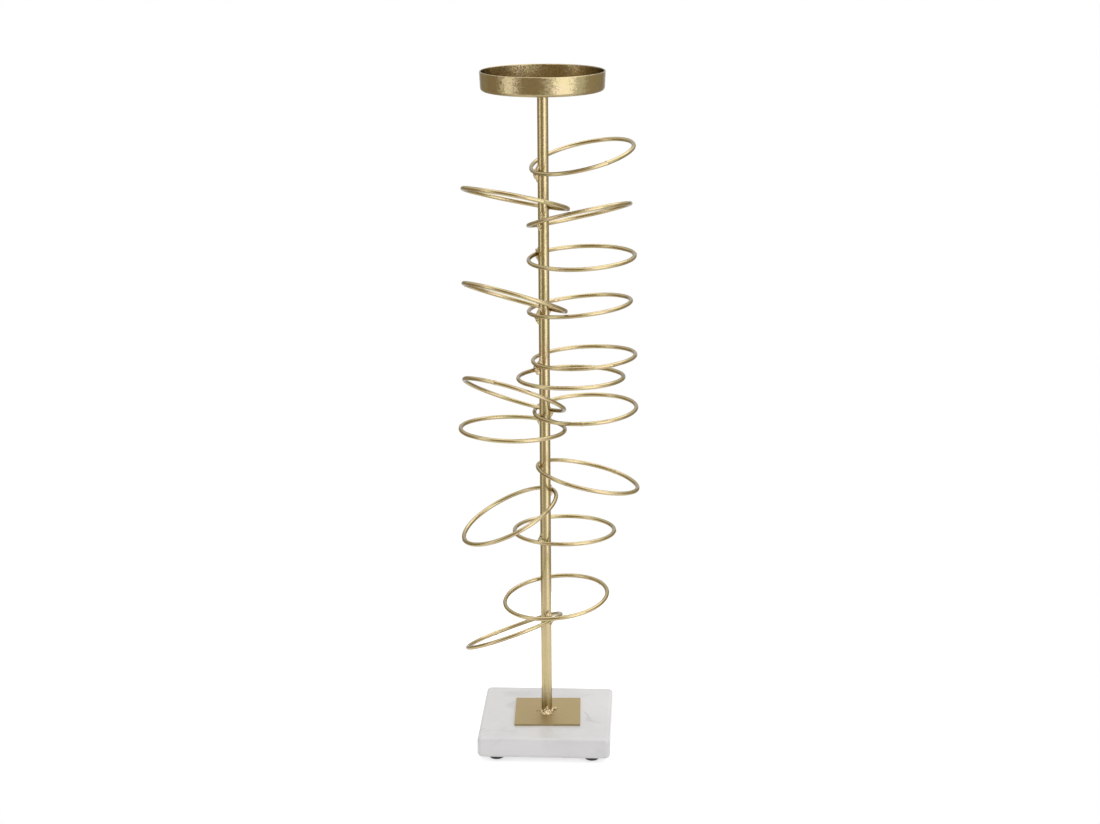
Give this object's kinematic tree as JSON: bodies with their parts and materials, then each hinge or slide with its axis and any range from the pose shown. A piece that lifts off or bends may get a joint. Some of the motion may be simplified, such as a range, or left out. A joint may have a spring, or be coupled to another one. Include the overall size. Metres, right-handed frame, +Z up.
{
  "type": "candle holder",
  "caption": "Tall candle holder: a thin rod on a square marble slab carries a shallow round cup, with wire rings welded round the rod at odd angles.",
  "frame": {"origin": "at table level, under the middle of the whole outline as seen from above; the rod's axis stands 3.8 mm to its left and 0.6 mm behind it", "axes": "+Z up along the rod, -Y is the front of the slab, +X to its right"},
  "size_m": [0.1336, 0.1406, 0.512],
  "materials": {
    "marble": "honed white marble with faint grey clouding",
    "gold_metal": "satin champagne gold with a fine sparkle",
    "foot_rubber": "smooth black rubber",
    "zinc_steel": "bright zinc plating"
  },
  "bodies": {
    "root": {"base_bolt": "zinc_steel", "base_plate": "gold_metal", "bolt_washer": "zinc_steel", "candle_cup": "gold_metal", "cup_weld": "gold_metal", "foot_front_left": "foot_rubber", "foot_front_right": "foot_rubber", "foot_rear_left": "foot_rubber", "foot_rear_right": "foot_rubber", "marble_base": "marble", "ring_01": "gold_metal", "ring_02": "gold_metal", "ring_03": "gold_metal", "ring_04": "gold_metal", "ring_05": "gold_metal", "ring_06": "gold_metal", "ring_07": "gold_metal", "ring_08": "gold_metal", "ring_09": "gold_metal", "ring_10": "gold_metal", "ring_11": "gold_metal", "ring_12": "gold_metal", "ring_13": "gold_metal", "ring_14": "gold_metal", "ring_15": "gold_metal", "ring_16": "gold_metal", "ring_weld_01": "gold_metal", "ring_weld_02": "gold_metal", "ring_weld_03": "gold_metal", "ring_weld_04": "gold_metal", "ring_weld_05": "gold_metal", "ring_weld_06": "gold_metal", "ring_weld_07": "gold_metal", "ring_weld_08": "gold_metal", "ring_weld_09": "gold_metal", "ring_weld_10": "gold_metal", "ring_weld_11": "gold_metal", "ring_weld_12": "gold_metal", "ring_weld_13": "gold_metal", "ring_weld_14": "gold_metal", "ring_weld_15": "gold_metal", "ring_weld_16": "gold_metal", "stem": "gold_metal", "stem_weld": "gold_metal"}
  },
  "joints": []
}
